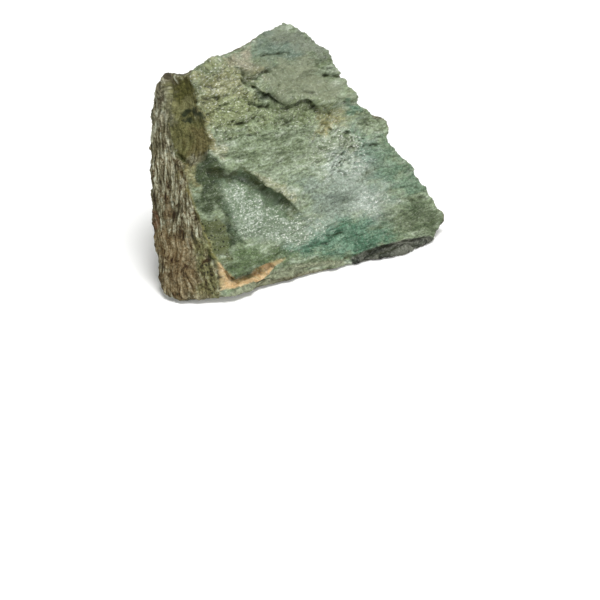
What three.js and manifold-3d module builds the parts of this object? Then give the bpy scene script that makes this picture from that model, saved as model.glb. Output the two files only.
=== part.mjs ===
// A hand-sized stone of green nickel ore, broken from a foliated, serpentine-rich rock.
// It is one solid: a wedge-shaped block with a broad green cleavage face at the front, a narrow
// fibrous side at the left, and ledges, notches and chips where layers have broken away.
// Millimetres, +Z up, resting on the flat patch at z = 0, with the front towards -Y.
import * as THREE from "three";
import { ConvexGeometry } from "three/addons/geometries/ConvexGeometry.js";
import { ImprovedNoise } from "three/addons/math/ImprovedNoise.js";
import { mergeVertices } from "three/addons/utils/BufferGeometryUtils.js";
import Module from "manifold-3d";

const wasm = await Module();
wasm.setup();

// The green face: which way it looks, how steeply it leans back, and where its lower left corner is.
const FACE_HEADING_DEG = 30;
const FACE_SLOPE_DEG = 64;
const FACE_FOOT = new THREE.Vector3(0, 0, 1.5);

// A break starts this far outside the face, so that it always cuts through the skin.
const BREAK_LIFT = 6;

// Weathering: the whole surface is bent by two sizes of smooth noise, and the foot stays flat.
const BROAD_WAVE = { length: 19, depth: 0.9 };
const SMALL_WAVE = { length: 6, depth: 0.45 };
const WAVE_START = { x: 7.3, y: 3.9, z: 5.1 };
const FLAT_FOOT_HEIGHT = 2.5;
const LONGEST_EDGE = 5;

// Corners closer than this are one corner.
const WELD = 1e-4;

const STONE_COLOUR = 0x84917a;
const STONE_ROUGHNESS = 0.6;

const point = (x, y, z) => new THREE.Vector3(x, y, z);

const heading = THREE.MathUtils.degToRad(FACE_HEADING_DEG);
const slope = THREE.MathUtils.degToRad(FACE_SLOPE_DEG);
const faceAlong = point(Math.cos(heading), Math.sin(heading), 0);
const faceBack = point(-Math.sin(heading), Math.cos(heading), 0);
const faceUp = faceBack.clone().multiplyScalar(Math.cos(slope)).setZ(Math.sin(slope));
const faceOut = faceAlong.clone().cross(faceUp);

// A point given on the green face: along its foot, up its slope, and how deep below the surface.
function onFace(along, up, depth = 0) {
  return FACE_FOOT.clone()
    .addScaledVector(faceAlong, along)
    .addScaledVector(faceUp, up)
    .addScaledVector(faceOut, -depth);
}

// The corners of the unbroken block.
const greenFace = [
  onFace(10.4, 67.5), // upper left, at the olive facet
  onFace(44.6, 77), // peak
  onFace(52.7, 70.9),
  onFace(56.2, 66.4),
  onFace(60, 58.6), // right of the peak
  onFace(71, 38.5), // shoulder knob
  onFace(76.4, 24.2),
  onFace(79.9, 15.6),
  onFace(84.2, 5.2), // right tip
  onFace(81.3, 1.9),
  onFace(77, -1.1), // foot, right end
  onFace(59, -1.6),
  onFace(13.3, 1.5),
  onFace(13.1, 14.7), // left border, where the facets turn away
  onFace(12.5, 35.2),
];
const leftRidge = [
  onFace(4.7, 11.6, 1.5),
  onFace(3.4, 26.6, 3),
  onFace(4.6, 38.8, 4),
  onFace(9.4, 68.3, 2.5),
];
const leftSide = [
  point(0.3, 1.8, 1.5), // front toe
  point(-9.7, 1.2, 1.5),
  point(-14.4, 4, 1.5),
  point(-16.5, 8.1, 1.5), // left heel
  point(-17, 10, 7),
  point(-18.6, 16, 23),
  point(-18.6, 26, 40),
  point(-17.8, 32, 52),
  point(-14, 34, 60.2), // upper left corner
];
const backSide = [
  point(-13, 46, 46),
  point(4, 57, 53),
  point(27, 61, 55),
  point(-17, 42, 18),
  point(-4, 66, 22),
  point(30, 74, 24),
  point(54, 62, 22),
  point(-13, 44, 2),
  point(6, 70, 2.5),
  point(47, 69, 2),
  point(68, 52, 2),
];
const foot = [
  point(3, 7, 0),
  point(-10, 9, 0),
  point(-11, 38, 0),
  point(8, 64, 0),
  point(44, 64, 0),
  point(63, 49, 0),
  point(63, 37.5, 0),
  point(52, 30, 0),
  point(28, 23, 0),
];

const hull = (points) => new ConvexGeometry(points);

// A flake broken off the face: [along, up, depth] for each corner of the scar it leaves.
function flake(corners) {
  const scar = corners.map(([along, up, depth]) => onFace(along, up, depth));
  const outside = corners.map(([along, up]) => onFace(along, up, -BREAK_LIFT));
  return hull([...scar, ...outside]);
}

// A notch through the rim of the face: [along, up] for each corner. It runs back to a depth, and its
// floor falls away as it goes, so that only its mouth is seen from the front.
function notch(corners, backDepth, fall) {
  const front = corners.map(([along, up]) => onFace(along, up + fall * BREAK_LIFT, -BREAK_LIFT));
  const back = corners.map(([along, up]) => onFace(along, up - fall * backDepth, backDepth));
  return hull([...front, ...back]);
}

// The lowest layer juts out a little at the right end of the foot.
const footLip = hull([
  onFace(52, -0.8, -0.4),
  onFace(60.4, -1.9, -1.6),
  onFace(65.6, -2.1, -1.7),
  onFace(72.3, -2.2, -1.6),
  onFace(76.9, -1.1, -0.6),
  onFace(54, 0.6, -0.2),
  onFace(60.4, 0, -1.2),
  onFace(72, -0.6, -1.2),
  onFace(77.5, -0.4, -0.4),
  onFace(54, 1.6, 5),
  onFace(76, 1.6, 5),
]);

const breaks = {
  rimLeftOfPeak: notch([[30.6, 72.6], [0, 68.9], [20, 90], [46.5, 80.5]], 40, 0.12),
  rimRightOfPeak: notch([[63, 47.4], [58.4, 63], [80, 62], [74, 37.5]], 40, 0.1),
  rimUnderKnob: notch([[70.2, 33.2], [72, 38.2], [82, 36], [76.4, 24]], 25, 0),
  // scooped deeper towards the fibrous side
  oliveFacet: flake([
    [10.4, 69, 0],
    [10.2, 59.6, 0],
    [11.4, 47.3, 0],
    [9.6, 42.8, 1.5],
    [3.1, 41.7, 6],
    [1.6, 44.8, 8],
    [2.5, 53.3, 9],
    [5.7, 70, 8],
  ]),
  // two scars under one curved lip, deepest at the lip and running out to the right
  middleLedgeLeft: flake([
    [8.1, 39.5, 3],
    [15.2, 37.9, 3],
    [20.8, 35.6, 3],
    [24.6, 31.6, 3],
    [9, 19, -0.5],
    [25, 14, -0.5],
  ]),
  middleLedgeRight: flake([
    [22.4, 33.8, 3],
    [27.4, 27.7, 2.5],
    [30.5, 24.4, 1.8],
    [36, 20, -0.5],
    [38, 13.5, -0.5],
    [20.5, 15, -0.5],
  ]),
  upperLedgeLeft: flake([
    [28, 61.4, 0.4],
    [36, 55.3, 2.4],
    [40.6, 53.2, 2.4],
    [29.1, 45, -0.5],
    [41, 42, -0.5],
  ]),
  upperLedgeRight: flake([
    [38.4, 54.2, 2.4],
    [45, 52.9, 2.2],
    [53, 49, -0.4],
    [38, 42, -0.5],
    [51, 43, -0.5],
  ]),
  // the chip that bares the ochre layer: an upright arm, and a long arm along the foot
  ochreChipUpright: flake([
    [4.1, 12.6, 1.2],
    [7.2, 5.2, 3.8],
    [10.4, 1.8, 0.9],
    [2.9, 2.7, 0.9],
  ]),
  ochreChipLong: flake([
    [6.4, 5.3, 3.8],
    [14.3, 6, 3],
    [28.4, 6.1, -0.2],
    [17.9, 3.5, 0.9],
    [9, 2, 0.9],
  ]),
  // the gap between the green plate and the lip
  footGroove: flake([
    [47.5, 1.9, 0.2],
    [61.6, 1.2, 2.5],
    [68.5, 0.4, 2.6],
    [79, 0.1, 2.6],
    [80, -0.4, 1],
    [61, 0.3, 1.8],
  ]),
  // the foot is broken back between the toe and the right end
  undercutFoot: flake([
    [8, 0.2, -0.4],
    [31, 2, -0.2],
    [50, -0.2, -0.4],
    [16, -5, 6],
    [44, -6, 6],
  ]),
  // steps at the back: the riser, then the tread and the space over it
  upperBackStep: hull([
    point(-10, 49, 40),
    point(20, 59, 45),
    point(48, 67, 38),
    point(-8, 42, 80),
    point(20, 51, 80),
    point(44, 58, 80),
    point(-14, 75, 37),
    point(62, 90, 35),
    point(-14, 75, 90),
    point(62, 90, 90),
  ]),
  lowerBackStep: hull([
    point(29, 72, 15),
    point(46, 65, 19),
    point(61, 57, 13),
    point(28, 64, 62),
    point(42, 57, 62),
    point(50, 55, 62),
    point(44, 95, 12),
    point(90, 75, 10),
    point(44, 95, 70),
    point(90, 75, 70),
  ]),
  leftBackCorner: hull([
    point(-21, 37, 10),
    point(-20, 33, 33),
    point(-9, 58, 13),
    point(-8, 50, 36),
    point(-30, 60, 7),
    point(-30, 55, 40),
  ]),
};

// A geometry as a solid that can be joined and cut, and back again.
function toSolid(geometry) {
  const bare = new THREE.BufferGeometry().setAttribute("position", geometry.getAttribute("position"));
  const merged = mergeVertices(bare.setIndex(geometry.index), WELD);
  return new wasm.Manifold(
    new wasm.Mesh({
      numProp: 3,
      vertProperties: merged.getAttribute("position").array,
      triVerts: new Uint32Array(merged.index.array),
    }),
  );
}

function toGeometry(solid) {
  const mesh = solid.getMesh();
  return new THREE.BufferGeometry()
    .setAttribute("position", new THREE.BufferAttribute(mesh.vertProperties, 3))
    .setIndex(new THREE.BufferAttribute(mesh.triVerts, 1));
}

// Halves every edge that is longer than LONGEST_EDGE, again and again, until none is left.
function refine(geometry) {
  const position = geometry.getAttribute("position");
  const corners = Array.from(geometry.index.array);
  const vertices = [];
  for (let i = 0; i < position.count; i++) vertices.push(new THREE.Vector3().fromBufferAttribute(position, i));
  let triangles = [];
  for (let i = 0; i < corners.length; i += 3) triangles.push(corners.slice(i, i + 3));
  const edgeLength = (a, b) => vertices[a].distanceTo(vertices[b]);
  const edgeName = (a, b) => (a < b ? `${a} ${b}` : `${b} ${a}`);
  // a triangle turned so that the longest of its edges that pass the test comes first
  const turned = ([a, b, c], passes) => {
    const turns = [[a, b, c], [b, c, a], [c, a, b]].filter(([from, to]) => passes(from, to));
    return turns.sort((one, other) => edgeLength(other[0], other[1]) - edgeLength(one[0], one[1]))[0];
  };
  const middles = new Map();
  for (let before = -1; before !== vertices.length; ) {
    before = vertices.length;
    for (const triangle of triangles) {
      const long = turned(triangle, (a, b) => edgeLength(a, b) > LONGEST_EDGE);
      if (!long || middles.has(edgeName(long[0], long[1]))) continue;
      middles.set(edgeName(long[0], long[1]), vertices.length);
      vertices.push(vertices[long[0]].clone().lerp(vertices[long[1]], 0.5));
    }
    const halve = (triangle) => {
      const split = turned(triangle, (a, b) => middles.has(edgeName(a, b)));
      if (!split) return [triangle];
      const [a, b, c] = split;
      const middle = middles.get(edgeName(a, b));
      return [...halve([a, middle, c]), ...halve([middle, b, c])];
    };
    triangles = triangles.flatMap(halve);
  }
  return new THREE.BufferGeometry().setFromPoints(vertices).setIndex(triangles.flat());
}

// Bends the surface by smooth noise. The foot is left flat, so that the stone rests on it.
function weather(geometry) {
  const perlin = new ImprovedNoise();
  const position = geometry.getAttribute("position");
  const p = new THREE.Vector3();
  for (let i = 0; i < position.count; i++) {
    p.fromBufferAttribute(position, i);
    const grip = THREE.MathUtils.smoothstep(p.z, 0, FLAT_FOOT_HEIGHT);
    const shift = new THREE.Vector3();
    for (const { length, depth } of [BROAD_WAVE, SMALL_WAVE]) {
      const [x, y, z] = [p.x / length, p.y / length, p.z / length];
      shift.x += depth * perlin.noise(x + WAVE_START.x, y, z);
      shift.y += depth * perlin.noise(x, y + WAVE_START.y, z);
      shift.z += depth * perlin.noise(x, y, z + WAVE_START.z);
    }
    p.addScaledVector(shift, grip);
    position.setXYZ(i, p.x, p.y, p.z);
  }
  return geometry;
}

function buildStone() {
  const block = hull([...greenFace, ...leftRidge, ...leftSide, ...backSide, ...foot]);
  let solid = toSolid(block).add(toSolid(footLip));
  for (const broken of Object.values(breaks)) solid = solid.subtract(toSolid(broken));
  const skin = weather(refine(toGeometry(solid)));
  skin.computeVertexNormals();
  return skin;
}

const stoneGeometry = buildStone();
stoneGeometry.computeBoundingBox();
const middle = stoneGeometry.boundingBox.getCenter(new THREE.Vector3());

const stone = new THREE.Mesh(
  stoneGeometry,
  new THREE.MeshStandardMaterial({ color: STONE_COLOUR, roughness: STONE_ROUGHNESS, metalness: 0 }),
);
stone.name = "ore_stone";
stone.position.set(-middle.x, -middle.y, 0);

const ore = new THREE.Group();
ore.add(stone);

export default ore;
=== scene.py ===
"""A hand specimen of green nickel ore on a pale floor.

The stone is a foliated serpentine rock. Its front is a silky face split along the layers, and its other
sides cut across the layers, so they show them edge-on as thin strands.
"""

import math

import bmesh
import bpy
import numpy as np
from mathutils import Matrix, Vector, noise


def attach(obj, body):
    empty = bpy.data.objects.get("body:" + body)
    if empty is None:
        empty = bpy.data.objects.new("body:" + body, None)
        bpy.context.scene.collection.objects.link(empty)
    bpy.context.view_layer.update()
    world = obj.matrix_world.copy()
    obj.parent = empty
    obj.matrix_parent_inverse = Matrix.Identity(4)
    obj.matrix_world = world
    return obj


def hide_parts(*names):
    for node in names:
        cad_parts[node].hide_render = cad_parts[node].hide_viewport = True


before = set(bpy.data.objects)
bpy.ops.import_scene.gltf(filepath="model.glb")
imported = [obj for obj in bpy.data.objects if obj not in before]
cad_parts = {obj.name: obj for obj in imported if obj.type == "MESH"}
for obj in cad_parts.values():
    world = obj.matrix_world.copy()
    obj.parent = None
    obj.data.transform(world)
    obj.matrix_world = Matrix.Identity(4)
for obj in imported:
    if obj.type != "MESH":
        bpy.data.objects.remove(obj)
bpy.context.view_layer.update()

MM = 0.001

# The photograph: 600 pixels square, taken from above and in front with a long lens. Millimetres.
PHOTO_PX = 600
LENS_MM = 120
SENSOR_MM = 36
CAMERA_AT = np.array((-0.08, -549.0, 325.6))
CAMERA_DOWN = math.radians(32.27)

# The green face's own directions, which the layers follow, and its lower left corner. Millimetres.
FACE_HEADING = math.radians(30)
FACE_SLOPE = math.radians(64)
FACE_FOOT = np.array((-26.44, -37.6, 1.5))
ALONG = np.array((math.cos(FACE_HEADING), math.sin(FACE_HEADING), 0))
UP = np.array(
    (
        -math.sin(FACE_HEADING) * math.cos(FACE_SLOPE),
        math.cos(FACE_HEADING) * math.cos(FACE_SLOPE),
        math.sin(FACE_SLOPE),
    )
)
OUT = np.cross(ALONG, UP)

# The skin's faces: their size, halved on the sides that the photograph shows, how often they and their
# normals are evened out, and how many are left at the end. The foot stays flat.
SKIN_MM = 0.64
EVENING = 3
LATE_EVENING = 2
BROAD_EVENING = 12
HOLLOW_EVENING = 8
COARSE_FOOT_MM = 0.4
FLAT_FOOT_MM = 1.5
SKIN_TRIANGLES = 190_000

# How squarely a place faces the camera, from 1 for squarely to -1 for away. The faces that are halved begin
# just past the rim, and the front fades in just inside it.
HALVED_FROM = -0.05
FRONT_FADES_IN = (0.0, 0.12)

# How far edges wander in the photograph, in pixels. A stain's edge that is no softer than FIRM_EDGE hardly
# wanders.
CREVICE_WANDER = 1.2
VEIN_WANDER = 1.5
EDGE_WANDER = 2.5
STAIN_WANDER = 8.0
FIRM_EDGE = 2
VEIN_HALF_WIDTH = 1.2
LIP_END = 6
LIP_EDGE = 1.2

# Breaks too small for the solid, as paths in the photograph: half width in pixels, depth in millimetres.
# A ridge has a depth below 0.
CREVICES = [
    ([(262, 92), (273, 97), (281, 101), (290, 102), (297, 100), (307, 101), (313, 105)], 2.0, 1.2),
    ([(327, 75), (333, 75), (341, 77)], 2.2, 1.8),
    ([(251, 104), (260, 105), (269, 106)], 1.7, 1.8),
    ([(262, 56), (272, 55), (288, 53)], 1.5, 0.7),
    ([(243, 72), (247, 82), (254, 87)], 2.2, 1.6),
    ([(263, 71), (270, 72), (276, 78), (278, 86)], 2.0, 1.0),
    ([(227, 57), (236, 62)], 1.8, 1.3),
    ([(208, 66), (211, 70)], 1.6, 0.6),
    ([(196, 101), (206, 104)], 1.8, 0.9),
    ([(216, 174), (233, 177), (249, 181), (261, 191), (276, 200), (288, 208), (297, 215)], 6.5, 0.9),
    ([(238, 124), (252, 122)], 1.6, 1.1),
    ([(338, 100), (344, 101)], 2.0, 1.2),
    ([(304, 92), (311, 93)], 2.2, 0.9),
    ([(172, 148), (180, 157), (190, 165)], 2.0, 1.2),
    ([(179, 84), (183, 108), (190, 134), (190, 148)], 9, 1.0),
    ([(194, 80), (199, 103), (209, 127), (213, 143)], 3.0, -0.8),
    ([(218, 187), (225, 200), (232, 217), (237, 232)], 1.6, 0.6),
    ([(205, 208), (216, 212), (226, 228), (233, 245)], 1.4, 0.5),
    ([(231, 279), (246, 275), (268, 267), (285, 262)], 1.4, 0.4),
    ([(346, 258), (376, 249), (400, 244), (426, 239)], 1.5, 0.9),
    ([(364, 255), (384, 252), (404, 249), (420, 246)], 1.2, 0.9),
    ([(375, 112), (380, 122), (376, 130)], 1.6, 0.8),
    ([(366, 146), (375, 145)], 1.7, 1.1),
    ([(416, 187), (424, 190)], 1.5, 0.8),
    ([(419, 197), (426, 199)], 1.5, 0.9),
    ([(436, 214), (432, 222), (436, 230)], 1.4, 0.8),
    ([(329, 236), (342, 233)], 1.6, 0.9),
]

# The parts of the stone that the photograph shows, as outlines in it. Their outer sides run past the rim.
GREEN_FACE = [
    (190, 60), (215, 52), (248, 36), (285, 10), (330, 40), (365, 95), (395, 118), (396, 140), (420, 165),
    (450, 205), (455, 225), (430, 240), (400, 243), (376, 248), (346, 258), (300, 268), (284, 262),
    (262, 270), (233, 278), (217, 262), (207, 237), (198, 214), (190, 190), (197, 178), (206, 160),
    (211, 142), (205, 125), (197, 103), (192, 80),
]
LEFT_SIDE = [
    (140, 60), (166, 70), (169, 80), (170, 122), (173, 150), (182, 164), (190, 190), (198, 214), (207, 237),
    (217, 262), (220, 291), (222, 310), (140, 310),
]
OLIVE_FACET = [
    (166, 72), (191, 79), (198, 106), (208, 128), (210, 142), (206, 150), (192, 160), (183, 163), (173, 150),
    (170, 122), (164, 94),
]
GRANULAR = [
    (190, 70), (232, 56), (258, 70), (262, 96), (330, 104), (345, 118), (325, 130), (262, 130), (215, 150),
    (198, 104),
]
CRINKLED = [(306, 140), (335, 118), (366, 122), (376, 150), (372, 180), (340, 186), (314, 170)]
SILKY = [
    [(315, 130), (340, 118), (366, 128), (372, 160), (352, 185), (322, 180), (308, 155)],
    [(352, 190), (378, 186), (392, 200), (382, 214), (356, 212)],
    [
        (218, 184), (240, 180), (262, 190), (285, 205), (305, 218), (330, 226), (300, 246), (262, 244),
        (240, 236), (226, 210),
    ],
    [(256, 176), (272, 178), (296, 192), (294, 202), (270, 190)],
    [(206, 128), (220, 134), (224, 150), (212, 160)],
    [(200, 76), (232, 66), (250, 80), (236, 98), (206, 100)],
]
RAGGED_LAYERS = [
    (340, 262), (376, 249), (400, 244), (428, 236), (446, 226), (440, 246), (420, 262), (380, 270),
]

# Lips of broken layers, as paths in the photograph from left to right: how far they reach up in pixels, and
# how proud their lower edges stand in millimetres.
LIPS = [
    (
        [
            (240, 70), (247, 82), (256, 88), (266, 93), (281, 101), (290, 102), (298, 99), (308, 101),
            (316, 105), (330, 104), (344, 101), (360, 99),
        ],
        22,
        1.3,
    ),
    ([(210, 168), (232, 170), (250, 173), (263, 184), (277, 193), (290, 202), (303, 214)], 13, 0.6),
    ([(198, 96), (214, 98), (236, 92), (246, 78)], 14, 0.8),
    ([(208, 114), (226, 120), (248, 117), (260, 108)], 10, 0.8),
    ([(260, 118), (286, 118), (322, 122), (334, 114)], 9, 0.6),
    ([(320, 73), (333, 74), (346, 77)], 6, 0.7),
    ([(257, 57), (272, 55), (292, 52)], 7, 0.5),
    ([(247, 103), (260, 104), (271, 106)], 6, 0.6),
    ([(224, 138), (250, 134), (276, 137), (300, 133)], 8, 0.6),
    ([(196, 216), (210, 214), (222, 222), (230, 236)], 5, 0.4),
    ([(362, 148), (376, 144), (390, 150)], 6, 0.6),
    ([(392, 186), (408, 184), (424, 190)], 7, 0.6),
    ([(300, 246), (316, 246), (330, 242)], 5, 0.5),
    ([(326, 236), (342, 232), (356, 233)], 5, 0.5),
    ([(352, 248), (368, 244), (386, 243)], 5, 0.5),
]

# Places where the stone bulges past the solid: a spot in the photograph, its radius in pixels and its height
# in millimetres.
BULGES = [
    ((162, 90), 13, 2.0),
    ((170, 75), 9, 1.6),
    ((153, 116), 12, 0.8),
    ((440, 219), 12, 0.9),
    ((425, 247), 11, 2.0),
    ((402, 253), 12, 2.2),
    ((380, 257), 12, 1.8),
    ((358, 261), 10, 1.0),
    ((383, 127), 9, 1.6),
]

# The rock's own relief: how high each form stands, and its size along, up and across the layers. Millimetres.
RELIEF_FORMS = {
    "broad_waves": (1.8, (22, 9, 12)),
    "layer_steps": (1.0, (12, 5, 8)),
    "coarse_grains": (1.2, (3.8, 2.4, 2)),
    "fine_grain": (0.18, (1.8, 1, 1)),
    "split_slits": (0.1, (7, 2, 3)),
    "crinkles": (1.7, (3.4, 1.9, 2.4)),
    "strands": (0.6, (5, 7, 0.7)),
    "leaning_strands": (0.6, (5, 7, 0.8)),
    "strand_slits": (0.5, (5, 5, 1.2)),
    "left_lumps": (0.5, 3.5),
    "far_lumps": (1.1, 8),
    "far_steps": (1.4, (14, 11, 5)),
    "thin_layers": (1.4, (9, 9, 1.3)),
    "rim_steps": (0.7, (5, 5, 3)),
}
HEIGHT = {name: height for name, (height, _) in RELIEF_FORMS.items()}
SIZE = {name: size for name, (_, size) in RELIEF_FORMS.items()}


def smooth(low, high, value):
    """0 below low, 1 above high, and a smooth rise between them."""
    t = np.clip((value - low) / (high - low), 0, 1)
    return t * t * (3 - 2 * t)


def bumps(places, size, octaves=3):
    """Smooth noise, mostly -0.5 to 0.5, at places in millimetres, with bumps of that size in millimetres.

    A number added to the places draws other bumps of the same kind.
    """
    return np.array([noise.fractal(p, 1.0, 2.0, octaves) for p in (places / np.array(size)).tolist()])


def drift(places, size):
    """Smooth noise in three directions, to bend straight things with."""
    return np.stack([bumps(places + 37 * k, size, 3) for k in (1, 2, 3)], 1)


def terraces(height, steps, tread):
    """Turns a slope into steps: flat for the tread's share, then up."""
    scaled = height * steps
    level = np.floor(scaled)
    return (level + smooth(tread, 1, scaled - level)) / steps


def slits(places, size, width=0.05):
    """Thin lines that wander, 1 along their middle. The width is a share of the size."""
    return np.exp(-((bumps(places, size, 3) / width) ** 2))


def in_photo(places):
    """Where places in millimetres are seen in the photograph, in pixels."""
    seen = places - CAMERA_AT
    ahead = seen @ np.array((0, math.cos(CAMERA_DOWN), -math.sin(CAMERA_DOWN)))
    above = seen @ np.array((0, math.sin(CAMERA_DOWN), math.cos(CAMERA_DOWN)))
    focal = PHOTO_PX * LENS_MM / SENSOR_MM
    return np.stack((PHOTO_PX / 2 + focal * seen[:, 0] / ahead, PHOTO_PX / 2 - focal * above / ahead), 1)


def gap_to_path(spots, path):
    """The distance from each spot to the nearest point of a path of straight pieces."""
    nearest = np.full(len(spots), 1e9)
    for a, b in zip(np.array(path[:-1], float), np.array(path[1:], float)):
        t = np.clip((spots - a) @ (b - a) / ((b - a) @ (b - a)), 0, 1)
        nearest = np.minimum(nearest, np.linalg.norm(spots - a - t[:, None] * (b - a), axis=1))
    return nearest


def within(spots, outline, soft):
    """1 inside an outline and 0 outside, with an edge that is soft over that many pixels each way."""
    ring = [*outline, outline[0]]
    inside = np.zeros(len(spots), bool)
    for (ax, ay), (bx, by) in zip(ring[:-1], ring[1:]):
        crosses = (ay > spots[:, 1]) != (by > spots[:, 1])
        rise = (by - ay) if by != ay else 1e-9
        inside ^= crosses & (spots[:, 0] < ax + (spots[:, 1] - ay) * (bx - ax) / rise)
    gap = gap_to_path(spots, ring)
    return smooth(-soft, soft, np.where(inside, gap, -gap))


def lip(spots, path, reach):
    """1 just above a path from left to right, and less further up. 0 below it and past its ends."""
    across, down = np.array(path, float).T
    above = np.interp(spots[:, 0], across, down) - spots[:, 1]
    start = smooth(across[0], across[0] + LIP_END, spots[:, 0])
    end = 1 - smooth(across[-1] - LIP_END, across[-1], spots[:, 0])
    return start * end * smooth(-LIP_EDGE, LIP_EDGE, above) * np.exp(-np.clip(above, 0, None) / reach)


def vertex_places(mesh):
    flat = np.empty(len(mesh.vertices) * 3)
    mesh.vertices.foreach_get("co", flat)
    return flat.reshape(-1, 3) / MM


def vertex_normals(mesh):
    flat = np.empty(len(mesh.vertices) * 3)
    mesh.vertices.foreach_get("normal", flat)
    return flat.reshape(-1, 3)


def set_places(mesh, places):
    mesh.vertices.foreach_set("co", (places * MM).ravel())
    mesh.update()


def neighbours_mean(mesh):
    """A function that gives, for any values at the vertices, the mean of each vertex's neighbours."""
    pairs = np.empty(len(mesh.edges) * 2, np.int64)
    mesh.edges.foreach_get("vertices", pairs)
    a, b = pairs.reshape(-1, 2).T
    count = np.bincount(pairs, minlength=len(mesh.vertices))[:, None]

    def mean(values):
        total = np.zeros_like(values)
        for column in range(values.shape[1]):
            total[:, column] = np.bincount(a, values[b, column], len(values))
            total[:, column] += np.bincount(b, values[a, column], len(values))
        return total / count

    return mean


def evened(mesh, times):
    """Evens the mesh out. Gives its vertices' places, their broad normals and the neighbours' mean function."""
    mean = neighbours_mean(mesh)
    places = vertex_places(mesh)
    for _ in range(times):
        places += 0.5 * (mean(places) - places)
    set_places(mesh, places)
    broad = vertex_normals(mesh)
    for _ in range(BROAD_EVENING):
        broad = mean(broad)
    return places, broad / np.linalg.norm(broad, axis=1)[:, None], mean


def towards_camera(places, broad):
    """How squarely each place faces the camera: 1 for squarely, below 0 for away."""
    line = CAMERA_AT - places
    return (broad * line).sum(1) / np.linalg.norm(line, axis=1)


def fine_copy(node):
    """The solid's surface again, in small even faces."""
    skin = bpy.data.objects.new("ore_stone_skin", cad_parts[node].data.copy())
    bpy.context.scene.collection.objects.link(skin)
    remesh = skin.modifiers.new("small_faces", "REMESH")
    remesh.mode = "VOXEL"
    remesh.voxel_size = SKIN_MM * MM
    shaped = bpy.data.meshes.new_from_object(skin.evaluated_get(bpy.context.evaluated_depsgraph_get()))
    skin.modifiers.clear()
    skin.data = shaped
    return skin


def halve_faces(mesh, chosen):
    """Cuts the edges between chosen vertices in two, and so their faces in four."""
    shaped = bmesh.new()
    shaped.from_mesh(mesh)
    edges = [edge for edge in shaped.edges if all(chosen[corner.index] for corner in edge.verts)]
    bmesh.ops.subdivide_edges(shaped, edges=edges, cuts=1, use_grid_fill=True)
    bmesh.ops.triangulate(shaped, faces=[face for face in shaped.faces if len(face.verts) > 4])
    shaped.to_mesh(mesh)
    shaped.free()


def thin_out(skin, triangles):
    """Leaves the skin with about that many triangles, fewest where it is flattest."""
    now = sum(len(face.vertices) - 2 for face in skin.data.polygons)
    thin = skin.modifiers.new("fewer_faces", "DECIMATE")
    thin.ratio = triangles / now
    shaped = bpy.data.meshes.new_from_object(skin.evaluated_get(bpy.context.evaluated_depsgraph_get()))
    skin.modifiers.clear()
    skin.data = shaped


skin = fine_copy("ore_stone")
mesh = skin.data
points, broad, _ = evened(mesh, EVENING)
halve_faces(mesh, (towards_camera(points, broad) > HALVED_FROM) & (points[:, 2] > COARSE_FOOT_MM))
points, broad, mean = evened(mesh, LATE_EVENING)
normals = vertex_normals(mesh)

# Where each vertex lies: in the layers' own directions, in the photograph, and on which part of the stone.
layers = np.stack([(points - FACE_FOOT) @ direction for direction in (ALONG, UP, OUT)], 1)
bent = layers + 2.5 * drift(layers, 7)
waved = layers + np.outer(0.6 * bumps(points, (9, 9, 9), 2), (0, 0, 1))
leaning = waved + np.outer(waved[:, 1], (0, 0, 0.14))
spots = in_photo(points)
wander = np.stack((bumps(points, 5, 4), bumps(points + 40, 5, 4)), 1)
edge_spots = spots + EDGE_WANDER * wander
loose_spots = spots + STAIN_WANDER * wander
facing = towards_camera(points, broad)
front = smooth(*FRONT_FADES_IN, facing)
rim = 1 - smooth(0.1, 0.35, np.abs(facing))
green_face = front * within(edge_spots, GREEN_FACE, 1.5)
left_side = front * within(edge_spots, LEFT_SIDE, 1.5)
olive_facet = front * within(edge_spots, OLIVE_FACET, 4)
unseen = 1 - np.maximum(green_face, np.maximum(left_side, olive_facet))
split = np.maximum(green_face, unseen * smooth(0.72, 0.9, np.abs(broad @ OUT)))
granular = green_face * within(loose_spots, GRANULAR, 14)
crinkled = green_face * within(loose_spots, CRINKLED, 16)
silky = green_face * np.max([within(loose_spots, outline, 14) for outline in SILKY], 0)

# Relief, in millimetres along the normals. The split face has broad waves, steps where layers end, coarse
# grains, fine grain, thin slits and crinkles. Steps and slits are largest where the face is granular.
relief = split * HEIGHT["broad_waves"] * bumps(layers, SIZE["broad_waves"], 2)
step_height = HEIGHT["layer_steps"] + 1.2 * granular
relief += split * step_height * terraces(bumps(bent, SIZE["layer_steps"], 3), steps=4, tread=0.65)
relief += granular * HEIGHT["coarse_grains"] * bumps(bent, SIZE["coarse_grains"], 3)
relief += split * HEIGHT["fine_grain"] * bumps(layers, SIZE["fine_grain"], 2)
slit_depth = HEIGHT["split_slits"] + 0.5 * granular
slit_patches = smooth(0.1, 0.4, bumps(points + 70, 6, 2))
relief -= split * slit_depth * slit_patches * slits(bent, SIZE["split_slits"])
relief -= crinkled * HEIGHT["crinkles"] * np.abs(bumps(bent + 20, SIZE["crinkles"], 2))

# Layers seen edge-on are braided strands, with slits between them. The left side is lumpy too.
strands = HEIGHT["strands"] * bumps(waved, SIZE["strands"], 4)
strands += HEIGHT["leaning_strands"] * bumps(leaning + 60, SIZE["leaning_strands"], 3)
strand_share = (0.7 - 0.4 * olive_facet - 0.3 * unseen) * (0.7 + 0.8 * bumps(points + 31, 6, 2))
relief += (1 - split) * strand_share * strands
slit_patches = smooth(0.0, 0.3, bumps(points + 90, 5, 2))
relief -= (1 - split) * HEIGHT["strand_slits"] * slit_patches * slits(waved, SIZE["strand_slits"])
relief += left_side * HEIGHT["left_lumps"] * bumps(points, SIZE["left_lumps"], 3)

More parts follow.
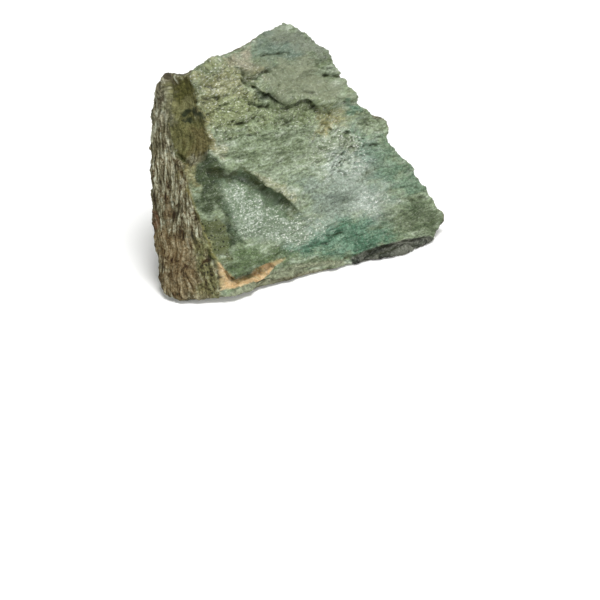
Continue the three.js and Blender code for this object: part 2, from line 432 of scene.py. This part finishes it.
# The unseen sides are lumpy and broken into steps, and thin layers stick out at the lower right.
far_side = HEIGHT["far_lumps"] * bumps(points, SIZE["far_lumps"], 4)
far_side += HEIGHT["far_steps"] * terraces(bumps(bent, SIZE["far_steps"], 2), steps=3, tread=0.75)
relief += unseen * far_side
ragged = front * within(spots, RAGGED_LAYERS, 3)
relief += ragged * HEIGHT["thin_layers"] * terraces(bumps(waved, SIZE["thin_layers"], 2), steps=4, tread=0.5)

# Lips and crevices, the crevices deeper in some stretches than in others.
for path, reach, height in LIPS:
    relief += front * height * lip(edge_spots, path, reach)
broken = 0.65 + 0.35 * smooth(-0.25, 0.25, bumps(points + 55, 4, 2))
for path, half_width, depth in CREVICES:
    gap = gap_to_path(spots + CREVICE_WANDER * wander, path)
    relief -= front * depth * broken * np.exp(-((gap / half_width) ** 2))

# The rim keeps close to the solid's outline, apart from small steps and the bulges.
relief = np.where(relief > 0, relief * (1 - 0.7 * rim), relief * (1 - 0.3 * rim))
relief += rim * HEIGHT["rim_steps"] * terraces(bumps(points + 15, SIZE["rim_steps"], 3), steps=4, tread=0.6)
for spot, radius, height in BULGES:
    gap = np.linalg.norm(spots - spot, axis=1)
    relief += smooth(-0.6, -0.1, facing) * height * np.exp(-((gap / radius) ** 2))

grip = smooth(0, FLAT_FOOT_MM, points[:, 2])
carved = points + normals * (relief * grip)[:, None]
carved[:, 2] = np.maximum(carved[:, 2], 0)
set_places(mesh, carved)
mesh.shade_smooth()
# How far each vertex lies below the evened surface around it: the depth of the hollows, which the material
# darkens as painted shade.
around = carved
for _ in range(HOLLOW_EVENING):
    around = mean(around)
hollow = ((around - carved) * normals).sum(1)

# Stains and kinds of rock, with a few painted shadows, highlights and sheen among them: two colours, how
# strongly they cover and the pattern that mixes the two, then outlines in the photograph with the softness of
# their edges in pixels. Later ones lie over earlier ones.
STAINS = {
    "grey_plate": (
        "#878c72", "#798068", 0.8, "lamellae",
        [
            (
                [
                    (250, 60), (262, 58), (300, 54), (345, 84), (354, 97), (318, 102), (290, 96),
                    (276, 97), (262, 88), (252, 75),
                ],
                14,
            ),
        ],
    ),
    "green_peak": (
        "#7e8478", "#707866", 0.8, "lamellae",
        [
            ([(255, 40), (285, 20), (305, 32), (330, 55), (300, 52), (270, 50)], 11),
        ],
    ),
    "blue_green_bloom": (
        "#6d8576", "#607b6d", 0.55, "lamellae",
        [
            ([(246, 48), (262, 40), (285, 44), (290, 54), (262, 60), (250, 60)], 16),
        ],
    ),
    "buff_rim": (
        "#aea893", "#a29f87", 0.9, "lamellae",
        [
            ([(226, 56), (246, 48), (255, 56), (255, 74), (240, 70), (230, 64)], 10),
        ],
    ),
    "yellow_olive_grains": (
        "#7c7f50", "#9c9b6e", 0.9, "lamellae",
        [
            (
                [
                    (195, 72), (232, 60), (250, 76), (256, 98), (262, 112), (240, 124), (212, 126),
                    (200, 104), (194, 82),
                ],
                17,
            ),
        ],
    ),
    "olive_terrace": (
        "#8a966b", "#9daa82", 0.7, "lamellae",
        [
            (
                [
                    (215, 100), (256, 98), (300, 104), (330, 104), (338, 118), (300, 124), (262, 126),
                    (240, 132), (214, 128),
                ],
                17,
            ),
        ],
    ),
    "limonite_stain": (
        "#9f8d52", "#949464", 0.65, "lamellae",
        [
            ([(322, 112), (340, 112), (352, 116), (350, 124), (332, 130), (318, 132)], 11),
            ([(206, 126), (212, 130), (216, 148), (210, 152), (205, 142)], 4),
            ([(180, 162), (190, 162), (196, 176), (194, 192), (186, 186)], 7),
        ],
    ),
    # Painted highlights: cream sparkles along the lip of the middle ledge and on the ridges beside the olive
    # facet, where the light catches their upper edges.
    "cream_highlights": (
        "#83835a", "#afae89", 0.6, "crumbs",
        [
            ([(248, 171), (262, 173), (280, 184), (298, 195), (299, 204), (280, 197), (262, 186)], 5),
            ([(210, 139), (221, 142), (226, 155), (216, 158)], 5),
            ([(182, 164), (191, 166), (194, 180), (186, 182)], 4),
        ],
    ),
    "olive_facet": (
        "#54542b", "#848454", 0.95, "strands",
        [
            (
                [
                    (166, 78), (191, 79), (198, 106), (208, 128), (210, 142), (206, 150), (192, 160),
                    (183, 163), (173, 150), (166, 108),
                ],
                7,
            ),
        ],
    ),
    "pale_threads": (
        "#88885c", "#9e9d72", 0.75, "strands",
        [
            ([(168, 98), (194, 99), (197, 107), (172, 108)], 3),
            ([(194, 101), (198, 101), (210, 127), (206, 129)], 2.5),
        ],
    ),
    "dark_pocket": (
        "#4e4e27", "#72723f", 0.9, "strands",
        [
            ([(168, 79), (190, 81), (191, 96), (180, 98), (169, 94)], 4),
        ],
    ),
    "black_green_ring": (
        "#1e2715", "#36402a", 0.9, "mottles",
        [
            ([(180, 108), (186, 105), (195, 106), (194, 110), (187, 112), (183, 116)], 2.5),
            ([(194, 104), (199, 106), (200, 120), (195, 119)], 2.5),
            ([(181, 118), (186, 119), (193, 120), (190, 125), (182, 123)], 2.5),
        ],
    ),
    "brown_corner": (
        "#5c532d", "#8a845a", 0.9, "strands",
        [
            ([(190, 128), (206, 128), (208, 146), (200, 155), (190, 158)], 8),
        ],
    ),
    "dark_green_facet": (
        "#25311d", "#3e4c29", 0.95, "mottles",
        [
            (
                [
                    (193, 174), (204, 154), (218, 162), (226, 174), (222, 186), (226, 198), (228, 208),
                    (206, 210), (194, 196),
                ],
                6,
            ),
            ([(214, 204), (228, 204), (236, 220), (241, 242), (233, 248), (225, 230)], 4),
        ],
    ),
    # Dark olive under the middle ledge's lip: partly the rock's own colour, partly a painted shadow cast by the
    # lip.
    "olive_ledge_shadow": (
        "#373d1c", "#565f36", 0.9, "mottles",
        [
            (
                [
                    (210, 170), (236, 170), (252, 174), (266, 186), (280, 194), (300, 212), (289, 213),
                    (260, 197), (242, 183), (222, 179),
                ],
                4,
            ),
        ],
    ),
    "speckled_olive": (
        "#595e34", "#4b5129", 0.85, "mottles",
        [
            (
                [
                    (200, 220), (207, 215), (213, 217), (222, 223), (227, 235), (233, 245), (227, 258),
                    (223, 265), (216, 258), (208, 243),
                ],
                3,
            ),
        ],
    ),
    "pale_silk": (
        "#6f8368", "#61765c", 0.8, "lamellae",
        [
            (
                [
                    (220, 182), (240, 178), (262, 190), (285, 205), (300, 220), (330, 226), (300, 246),
                    (262, 244), (240, 236), (228, 214),
                ],
                14,
            ),
        ],
    ),
    # A pale grey-blue patch where the face is brightest: partly the talc's own colour, partly a painted sheen.
    "grey_silk_sheen": (
        "#9ba8a0", "#8d9e92", 0.7, "lamellae",
        [
            ([(305, 185), (335, 150), (375, 160), (386, 195), (385, 215), (340, 222), (310, 215)], 25),
        ],
    ),
    "green_flank": (
        "#73967d", "#557464", 0.65, "flecks",
        [
            ([(355, 125), (392, 148), (422, 190), (405, 200), (385, 185), (360, 150)], 20),
        ],
    ),
    "garnierite": (
        "#2f6349", "#83a890", 0.85, "flecks",
        [
            (
                [
                    (285, 246), (305, 238), (330, 226), (372, 222), (398, 228), (400, 238), (380, 246),
                    (350, 254), (310, 256),
                ],
                14,
            ),
            ([(346, 102), (358, 104), (358, 112), (350, 114)], 7),
        ],
    ),
    "dark_garnierite": (
        "#1d4029", "#507e62", 0.75, "flecks",
        [
            ([(294, 250), (308, 243), (330, 242), (324, 250), (306, 254)], 5),
            ([(322, 238), (336, 227), (354, 226), (346, 234), (332, 240)], 5),
            ([(349, 247), (360, 238), (386, 238), (380, 246), (360, 252)], 5),
        ],
    ),
    "olive_flank": (
        "#455537", "#707d5e", 0.8, "mottles",
        [
            ([(395, 214), (415, 200), (436, 210), (442, 222), (430, 236), (408, 240), (392, 230)], 14),
        ],
    ),
    "dark_layers": (
        "#13150d", "#74766b", 0.95, "slates",
        [
            (
                [
                    (350, 258), (376, 246), (400, 241), (428, 236), (436, 246), (418, 256), (388, 264),
                    (352, 264),
                ],
                2,
            ),
        ],
    ),
    "pale_strip": (
        "#9ea488", "#8f967a", 0.95, "lamellae",
        [
            (
                [
                    (212, 299), (234, 291), (263, 277), (287, 266), (345, 259), (345, 264), (307, 270),
                    (273, 283), (243, 293), (216, 304),
                ],
                2,
            ),
        ],
    ),
    "ochre": (
        "#ead0a4", "#cda876", 1.0, "lamellae",
        [
            (
                [
                    (216, 261), (223, 266), (229, 272), (235, 279), (247, 275), (262, 268), (274, 262),
                    (286, 259), (262, 277), (247, 285), (235, 289), (220, 291),
                ],
                1.5,
            ),
        ],
    ),
    # Painted shadow: dark brown in the chip's inner corner, under the broken edge of the green layer above it.
    "chip_shadow": (
        "#7a5c30", "#94733f", 0.8, "lamellae",
        [
            (
                [
                    (230, 276), (236, 280), (247, 275), (263, 268), (264, 271), (248, 279), (238, 284),
                    (231, 281),
                ],
                1.5,
            ),
        ],
    ),
    "brown_strands": (
        "#6b5633", "#b7a782", 0.75, "strands",
        [
            ([(156, 232), (186, 236), (200, 262), (204, 300), (163, 298), (157, 262)], 20),
        ],
    ),
    "spotted_olive": (
        "#5e603b", "#959968", 0.8, "strands",
        [
            ([(196, 238), (208, 244), (217, 264), (219, 296), (200, 298), (198, 262)], 10),
        ],
    ),
    "olive_strands": (
        "#686752", "#bdc0ad", 0.6, "strands",
        [
            ([(150, 70), (168, 72), (170, 112), (164, 130), (152, 118)], 11),
        ],
    ),
    # Darker green towards the foot of the split face.
    "low_green": (
        "#597041", "#4f653c", 0.7, "lamellae",
        [
            ([(232, 246), (262, 248), (296, 254), (290, 262), (262, 270), (234, 278), (226, 264)], 11),
        ],
    ),
    "brown_spots": (
        "#604c2e", "#8b7958", 0.75, "strands",
        [
            ([(172, 252), (182, 252), (183, 266), (174, 267)], 5),
            ([(155, 270), (162, 270), (162, 280), (156, 281)], 4),
            ([(169, 271), (177, 271), (176, 280), (168, 280)], 4),
            ([(160, 196), (170, 200), (168, 226), (162, 222)], 6),
        ],
    ),
    "rust": (
        "#6b4a33", "#86644c", 0.7, "strands",
        [
            ([(149, 212), (154, 212), (155, 228), (150, 230)], 4),
        ],
    ),
}
EVEN_ROCK = (
    "grey_plate",
    "green_peak",
    "blue_green_bloom",
    "dark_green_facet",
    "olive_ledge_shadow",
    "speckled_olive",
    "ochre",
)
VEIN = [(186, 186), (195, 205), (199, 218), (207, 237), (213, 253), (217, 263)]

# What the material reads from the mesh: the share of each stain and kind of rock, and two sets of places.
shares = {}
for name, (_, _, _, _, outlines) in STAINS.items():
    parts = [
        within(loose_spots if soft > FIRM_EDGE else spots + wander, outline, soft)
        for outline, soft in outlines
    ]
    shares[name] = front * np.max(parts, 0)
vein_gap = gap_to_path(spots + VEIN_WANDER * wander, VEIN)
shares |= {
    "yellow_vein": front * np.exp(-((vein_gap / VEIN_HALF_WIDTH) ** 2)),
    "split": split,
    "unseen": unseen,
    "silky": silky * (1 - np.maximum(shares["olive_ledge_shadow"], shares["dark_green_facet"])),
    "granular": granular,
    "even": np.max([shares[name] for name in EVEN_ROCK], 0),
    # The depth of hollows, for the painted shade, kept mostly off the ochre chip.
    "hollow": hollow * (1 - 0.8 * shares["ochre"]),
}
for name, values in shares.items():
    mesh.attributes.new(name, "FLOAT", "POINT").data.foreach_set("value", values.astype(np.float32))
sheet = np.stack((layers[:, 0] + layers[:, 2], layers[:, 1], np.zeros(len(layers))), 1)
for name, vectors in (("layers", waved), ("sheet", sheet)):
    kept = mesh.attributes.new(name, "FLOAT_VECTOR", "POINT")
    kept.data.foreach_set("vector", vectors.astype(np.float32).ravel())


def linear(hex_colour):
    """An sRGB hex colour as linear red, green, blue and full opacity."""
    parts = [int(hex_colour[i : i + 2], 16) / 255 for i in (1, 3, 5)]
    return (*[c / 12.92 if c <= 0.04045 else ((c + 0.055) / 1.055) ** 2.4 for c in parts], 1)


def add(tree, kind, inputs=(), out=0, stops=(), **settings):
    """Adds a node with its settings and links, and gives one of its outputs.

    Inputs are pairs of a socket's name or number and a value, a hex colour or another node's output. Stops
    are a colour ramp's places and hex colours.
    """
    made = tree.nodes.new(kind)
    for name, value in settings.items():
        setattr(made, name, value)
    for socket, value in inputs:
        if isinstance(value, bpy.types.NodeSocket):
            tree.links.new(value, made.inputs[socket])
        else:
            made.inputs[socket].default_value = linear(value) if isinstance(value, str) else value
    for place, _ in stops[2:]:
        made.color_ramp.elements.new(place)
    for element, (place, colour) in zip(made.color_ramp.elements if stops else (), stops):
        element.position = place
        element.color = linear(colour)
    return made.outputs[out] if made.outputs else made


# Patterns in the rock: size in millimetres along, up and across the layers, then detail, roughness and bend.
PATTERNS = {
    "clouds": ((17, 8, 9), 4, 0.55, 0.5),
    "mottles": ((6, 1.9, 2.4), 6, 0.62, 0.4),
    "patches": ((7, 4, 4), 7, 0.7, 0.6),
    "grain": ((0.95, 0.65, 0.65), 3, 0.7, 0.2),
    "flecks": ((4.5, 0.9, 1.2), 5, 0.62, 0.4),
    "strands": ((4, 5.5, 0.5), 5, 0.64, 0.4),
    "blotches": ((2.2, 3.2, 1.3), 5, 0.7, 0.5),
    "slates": ((8, 8, 0.45), 3, 0.5, 0.15),
    "lamellae": ((2.6, 0.9, 1.1), 5, 0.6, 0.3),
    "crumbs": ((0.62, 0.45, 0.45), 2, 0.6, 0),
    "weathering": ((14, 10, 9), 6, 0.65, 0.5),
}
PATTERN_SHIFT = 7.3

# Sizes in the rock, in millimetres: the black specks' spacing, a talc flake and the bumps' full height.
SPECK_SPACING = 1.15
TALC_FLAKE = (0.7, 0.4, 0.4)
BUMP_MM = 0.8


def rock_patterns(tree, place):
    """Every pattern as noise round 0.5. Each is moved aside, so that no two are alike."""
    rock = {}
    for number, (name, (size, detail, rough, bend)) in enumerate(PATTERNS.items()):
        aside = (PATTERN_SHIFT * number,) * 3
        spread = add(
            tree,
            "ShaderNodeMapping",
            [("Vector", place), ("Location", aside), ("Scale", tuple(1 / s for s in size))],
        )
        rock[name] = add(
            tree,
            "ShaderNodeTexNoise",
            [
                ("Vector", spread),
                ("Scale", 1),
                ("Detail", detail),
                ("Roughness", rough),
                ("Distortion", bend),
            ],
            out="Fac",
        )
    return rock


def bare_rock(tree, rock, held):
    """The rock before its stains: grey-green on the split, and strands where the layers are cut across."""
    # The split face is mottled grey-green, and the layers seen edge-on are beige and brown strands.
    green = add(
        tree,
        "ShaderNodeValToRGB",
        [("Fac", rock["mottles"])],
        stops=[(0.32, "#5f6f53"), (0.45, "#8b9b78"), (0.56, "#a6b699"), (0.7, "#c9d4c1")],
    )
    edge_on = add(
        tree,
        "ShaderNodeValToRGB",
        [("Fac", rock["strands"])],
        stops=[(0.33, "#312a19"), (0.43, "#716d51"), (0.53, "#a6a48b"), (0.63, "#e4e9d4")],
    )

    # The far sides have lain open longer: a dusty rind covers part of them, and green shows through in places.
    rind = add(
        tree,
        "ShaderNodeValToRGB",
        [("Fac", rock["mottles"])],
        stops=[(0.3, "#4e4b38"), (0.43, "#787659"), (0.55, "#97987c"), (0.7, "#b8b89f")],
    )
    side = edge_on
    for low, high, least, cover in ((0.38, 0.52, 0.35, rind), (0.53, 0.64, 0, green)):
        weathered = add(
            tree,
            "ShaderNodeMapRange",
            [
                ("Value", rock["weathering"]),
                ("From Min", low),
                ("From Max", high),
                ("To Min", least),
                ("To Max", 0.85),
            ],
        )
        weathered = add(tree, "ShaderNodeMath", [(0, weathered), (1, held["unseen"])], operation="MULTIPLY")
        side = add(tree, "ShaderNodeMix", [(0, weathered), (6, side), (7, cover)], out=2, data_type="RGBA")
    colour = add(tree, "ShaderNodeMix", [(0, held["split"]), (6, side), (7, green)], out=2, data_type="RGBA")

    # Lighter and darker clouds, about 15 mm across.
    cloud = add(
        tree,
        "ShaderNodeValToRGB",
        [("Fac", rock["clouds"])],
        stops=[(0.34, "#ffffff"), (0.5, "#ececea"), (0.66, "#cdcdc8")],
    )
    colour = add(
        tree,
        "ShaderNodeMix",
        [(0, 1), (6, colour), (7, cloud)],
        out=2,
        data_type="RGBA",
        blend_type="MULTIPLY",
    )
    return colour


def stained(tree, rock, held, colour):
    """Stains in patches with ragged edges, some of them painted shadows, highlights and sheen, and a thin
    yellow vein.
    """
    ragged = add(
        tree,
        "ShaderNodeMapRange",
        [("Value", rock["patches"]), ("From Min", 0.3), ("From Max", 0.7), ("To Min", -0.5), ("To Max", 0.5)],
    )
    for name, (main, other, strength, pattern, _) in STAINS.items():
        spread = add(tree, "ShaderNodeMath", [(0, held[name]), (1, ragged)], operation="ADD")
        share = add(
            tree,
            "ShaderNodeMapRange",
            [("Value", spread), ("From Min", 0.15), ("From Max", 0.8), ("To Max", strength)],
        )
        inner = add(
            tree, "ShaderNodeMapRange", [("Value", rock[pattern]), ("From Min", 0.36), ("From Max", 0.64)]
        )
        stain = add(tree, "ShaderNodeMix", [(0, inner), (6, main), (7, other)], out=2, data_type="RGBA")
        bare = add(tree, "ShaderNodeMath", [(0, held[name]), (1, 0.02)], operation="GREATER_THAN")
        share = add(tree, "ShaderNodeMath", [(0, share), (1, bare)], operation="MULTIPLY")
        colour = add(tree, "ShaderNodeMix", [(0, share), (6, colour), (7, stain)], out=2, data_type="RGBA")

    vein = add(tree, "ShaderNodeMath", [(0, held["yellow_vein"]), (1, 0.6)], operation="MULTIPLY")
    colour = add(tree, "ShaderNodeMix", [(0, vein), (6, colour), (7, "#97935a")], out=2, data_type="RGBA")
    return colour


def flecked(tree, rock, held, colour):
    """Brown blotches, dark green flecks, and pale flakes of talc that also serve as painted glints."""
    # Blotches, about 3 mm by 2 mm, lie where the layers are seen edge-on.
    blotch = add(
        tree,
        "ShaderNodeValToRGB",
        [("Fac", rock["blotches"])],
        stops=[(0.37, "#6d5434"), (0.48, "#e2dacd"), (0.58, "#ffffff")],
    )
    calmer = add(tree, "ShaderNodeMath", [(0, held["olive_facet"]), (1, held["unseen"])], operation="MAXIMUM")
    blotched = add(tree, "ShaderNodeMapRange", [("Value", calmer), ("To Min", 1), ("To Max", 0.3)])
    blotched = add(tree, "ShaderNodeMath", [(0, held["across"]), (1, blotched)], operation="MULTIPLY")
    colour = add(
        tree,
        "ShaderNodeMix",
        [(0, blotched), (6, colour), (7, blotch)],
        out=2,
        data_type="RGBA",
        blend_type="MULTIPLY",
    )

    # Flecks are drawn out along the layers, about 3 mm by 1 mm.
    fleck = add(
        tree,
        "ShaderNodeMapRange",
        [("Value", rock["flecks"]), ("From Min", 0.56), ("From Max", 0.67), ("To Max", 0.75)],
    )
    fleck = add(tree, "ShaderNodeMath", [(0, fleck), (1, held["split"])], operation="MULTIPLY")
    shady = add(tree, "ShaderNodeMapRange", [("Value", rock["clouds"]), ("From Min", 0.4), ("From Max", 0.6)])
    fleck = add(tree, "ShaderNodeMath", [(0, fleck), (1, shady)], operation="MULTIPLY")
    colour = add(tree, "ShaderNodeMix", [(0, fleck), (6, colour), (7, "#4a5843")], out=2, data_type="RGBA")

    # Pale talc flakes, which also stand in for glints: painted highlights as small pale dots. Talc flakes are
    # finer than this in real rock, and are drawn about 0.5 mm across so that they show. They are thickest where
    # the face is silky.
    talc_glint = add(
        tree,
        "ShaderNodeMapRange",
        [("Value", rock["crumbs"]), ("From Min", 0.57), ("From Max", 0.67), ("To Max", 0.85)],
    )
    glinty = add(tree, "ShaderNodeMath", [(0, held["silky"]), (1, held["granular"])], operation="MAXIMUM")
    glint_share = add(tree, "ShaderNodeMapRange", [("Value", glinty), ("To Min", 0.22)])
    talc_glint = add(tree, "ShaderNodeMath", [(0, talc_glint), (1, glint_share)], operation="MULTIPLY")
    talc_glint = add(tree, "ShaderNodeMath", [(0, talc_glint), (1, held["split"])], operation="MULTIPLY")
    colour = add(tree, "ShaderNodeMix", [(0, talc_glint), (6, colour), (7, "#e2e6d8")], out=2, data_type="RGBA")
    return colour


def grained(tree, rock, held, colour):
    """Grain lightens and darkens everything, and painted shade darkens the hollows and crevices."""
    shade = add(
        tree,
        "ShaderNodeValToRGB",
        [("Fac", rock["grain"])],
        stops=[(0.34, "#8e8e88"), (0.5, "#d4d4d0"), (0.62, "#ffffff")],
    )
    calm = add(tree, "ShaderNodeMath", [(0, held["even"]), (1, held["silky"])], operation="MAXIMUM")
    grainy = add(tree, "ShaderNodeMapRange", [("Value", calm), ("To Min", 0.85), ("To Max", 0.4)])
    colour = add(
        tree,
        "ShaderNodeMix",
        [(0, grainy), (6, colour), (7, shade)],
        out=2,
        data_type="RGBA",
        blend_type="MULTIPLY",
    )
    # Painted shade: darkens the hollows and crevices, where the shadow falls.
    hollow_shade = add(
        tree,
        "ShaderNodeMapRange",
        [("Value", held["hollow"]), ("From Min", 0.06), ("From Max", 0.5), ("To Max", 0.6)],
    )
    colour = add(tree, "ShaderNodeMix", [(0, hollow_shade), (6, colour), (7, "#353b1e")], out=2, data_type="RGBA")
    return colour


def black_specked(tree, held, colour):
    """Black specks of magnetite and chromite, up to 1 mm across, thickest on the olive rock."""
    sheet = add(tree, "ShaderNodeAttribute", out="Vector", attribute_name="sheet")
    gap, lot = (
        add(
            tree,
            "ShaderNodeTexVoronoi",
            [("Vector", sheet), ("Scale", 1 / SPECK_SPACING)],
            out=out,
            voronoi_dimensions="2D",
        )
        for out in ("Distance", "Color")
    )
    lot = add(tree, "ShaderNodeSeparateColor", [("Color", lot)])
    radius = add(tree, "ShaderNodeMath", [(0, lot), (1, 0.62), (2, -0.2)], operation="MULTIPLY_ADD")
    inside = add(tree, "ShaderNodeMath", [(0, radius), (1, gap)], operation="SUBTRACT")
    speck = add(tree, "ShaderNodeMapRange", [("Value", inside), ("From Min", -0.03), ("From Max", 0.06)])
    specked = add(
        tree, "ShaderNodeMath", [(0, held["speckled_olive"]), (1, held["spotted_olive"])], operation="MAXIMUM"
    )
    specked = add(tree, "ShaderNodeMapRange", [("Value", specked), ("To Min", 0.05), ("To Max", 0.85)])
    speck = add(tree, "ShaderNodeMath", [(0, speck), (1, specked)], operation="MULTIPLY")
    colour = add(tree, "ShaderNodeMix", [(0, speck), (6, colour), (7, "#191c10")], out=2, data_type="RGBA")
    return colour


def lie_of_flakes(tree, rock, held, place):
    """The normal over fine layers, crumbs and strands, with each talc flake at its own slight tilt."""
    height = add(tree, "ShaderNodeMath", [(0, rock["lamellae"]), (1, 0.5)], operation="MULTIPLY")
    height = add(
        tree, "ShaderNodeMath", [(0, rock["crumbs"]), (1, 0.3), (2, height)], operation="MULTIPLY_ADD"
    )
    stranded = add(tree, "ShaderNodeMath", [(0, held["across"]), (1, rock["strands"])], operation="MULTIPLY")
    height = add(tree, "ShaderNodeMath", [(0, stranded), (1, 0.5), (2, height)], operation="MULTIPLY_ADD")
    depth = add(tree, "ShaderNodeMapRange", [("Value", held["silky"]), ("To Min", 1), ("To Max", 0.5)])
    bump = add(
        tree,
        "ShaderNodeBump",
        [("Strength", depth), ("Distance", BUMP_MM * MM), ("Height", height)],
        out="Normal",
    )
    flakes = add(tree, "ShaderNodeMapping", [("Vector", place), ("Scale", tuple(1 / s for s in TALC_FLAKE))])
    tilt = add(tree, "ShaderNodeTexVoronoi", [("Vector", flakes), ("Scale", 1)], out="Color")
    tilt = add(tree, "ShaderNodeVectorMath", [(0, tilt), (1, (0.5, 0.5, 0.5))], operation="SUBTRACT")
    tilting = add(tree, "ShaderNodeMapRange", [("Value", held["silky"]), ("To Min", 0.12), ("To Max", 0.5)])
    tilt = add(tree, "ShaderNodeVectorMath", [(0, tilt), ("Scale", tilting)], operation="SCALE")
    tilt = add(tree, "ShaderNodeVectorMath", [(0, bump), (1, tilt)], operation="ADD")
    return add(tree, "ShaderNodeVectorMath", [(0, tilt)], operation="NORMALIZE")


def foliated_serpentine():
    """Serpentine rock split by hand along its layers: silky and slightly waxy on the split, dull and stranded
    where the layers are cut across. Serpentine's refractive index is about 1.56."""
    material = bpy.data.materials.new("foliated_serpentine")
    material.use_nodes = True
    tree = material.node_tree
    tree.nodes.clear()
    output = add(tree, "ShaderNodeOutputMaterial")
    place = add(tree, "ShaderNodeAttribute", out="Vector", attribute_name="layers")
    rock = rock_patterns(tree, place)
    held = {name: add(tree, "ShaderNodeAttribute", out="Fac", attribute_name=name) for name in shares}
    held["across"] = add(tree, "ShaderNodeMath", [(0, 1), (1, held["split"])], operation="SUBTRACT")

    colour = bare_rock(tree, rock, held)
    colour = stained(tree, rock, held, colour)
    colour = flecked(tree, rock, held, colour)
    colour = grained(tree, rock, held, colour)
    colour = black_specked(tree, held, colour)

    # Dull across the layers, waxy on the split, and silky where the talc is thick.
    waxy = add(tree, "ShaderNodeMapRange", [("Value", held["split"]), ("To Min", 0.8), ("To Max", 0.66)])
    silk = add(tree, "ShaderNodeMapRange", [("Value", held["silky"]), ("To Max", 0.36)])
    rough = add(tree, "ShaderNodeMath", [(0, waxy), (1, silk)], operation="SUBTRACT")
    gloss = add(tree, "ShaderNodeMapRange", [("Value", held["silky"]), ("To Min", 0.15), ("To Max", 0.5)])
    stone = add(
        tree,
        "ShaderNodeBsdfPrincipled",
        [
            ("Base Color", colour),
            ("Roughness", rough),
            ("IOR", 1.56),
            ("Specular IOR Level", gloss),
            ("Normal", lie_of_flakes(tree, rock, held, place)),
        ],
    )
    tree.links.new(stone, output.inputs["Surface"])
    return material


thin_out(skin, SKIN_TRIANGLES)
skin.data.materials.clear()
skin.data.materials.append(foliated_serpentine())
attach(skin, "root")
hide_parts("ore_stone")


# The studio, in metres and watts. Each soft light has the direction it stands in from the point it is aimed
# at, how far off it is, its width, its power and whether it shows in gloss alone.
FLOOR_HALF = 3.0
LIGHTS_AIM = Vector((0, 0, 0.033))
SOFTBOXES = {
    "top_light": ((0.10, -0.25, 0.96), 0.9, 0.35, 7.5, False),
    "sheen_light": ((0.80, -0.51, 0.34), 0.9, 0.22, 2.2, False),
    "glint_light": ((0.80, -0.51, 0.34), 0.9, 0.14, 8.0, True),
    "back_fill": ((0.3, 0.9, 0.5), 1.1, 0.6, 3.5, False),
    "left_fill": ((-0.85, -0.50, 0.25), 1.0, 0.5, 1.8, False),
}
SURROUND = 0.25


def white_board():
    """Matt white studio board, for the floor: an even white with hardly any gloss."""
    material = bpy.data.materials.new("white_board")
    material.use_nodes = True
    shader = material.node_tree.nodes["Principled BSDF"]
    shader.inputs["Base Color"].default_value = linear("#f7f7f6")
    shader.inputs["Roughness"].default_value = 0.9
    shader.inputs["Specular IOR Level"].default_value = 0.1
    shader.inputs["Emission Color"].default_value = linear("#ffffff")
    shader.inputs["Emission Strength"].default_value = 0.1
    return material


def pale_floor():
    """A wide square board under the stone."""
    board = bpy.data.meshes.new("floor")
    corners = [(x * FLOOR_HALF, y * FLOOR_HALF, 0) for x, y in ((-1, -1), (1, -1), (1, 1), (-1, 1))]
    board.from_pydata(corners, [], [(0, 1, 2, 3)])
    board.materials.append(white_board())
    floor = bpy.data.objects.new("floor", board)
    bpy.context.scene.collection.objects.link(floor)


def softbox(name, towards, distance, size, watts, only_gloss):
    """A square soft light, turned to the stone."""
    light = bpy.data.lights.new(name, "AREA")
    light.shape = "SQUARE"
    light.size = size
    light.energy = watts
    box = bpy.data.objects.new(name, light)
    box.location = LIGHTS_AIM + Vector(towards).normalized() * distance
    box.rotation_euler = (LIGHTS_AIM - box.location).to_track_quat("-Z", "Y").to_euler()
    box.visible_diffuse = not only_gloss
    bpy.context.scene.collection.objects.link(box)


pale_floor()
for name, settings in SOFTBOXES.items():
    softbox(name, *settings)

scene = bpy.context.scene
scene.world = bpy.data.worlds.new("studio")
scene.world.use_nodes = True
background = scene.world.node_tree.nodes["Background"]
background.inputs["Color"].default_value = linear("#ffffff")
background.inputs["Strength"].default_value = SURROUND
scene.view_settings.view_transform = "Standard"

camera_data = bpy.data.cameras.new("photo_camera")
camera_data.lens = LENS_MM
camera_data.sensor_width = SENSOR_MM
camera = bpy.data.objects.new("photo_camera", camera_data)
camera.location = CAMERA_AT * MM
camera.rotation_euler = (math.pi / 2 - CAMERA_DOWN, 0, 0)
scene.collection.objects.link(camera)
scene.camera = camera
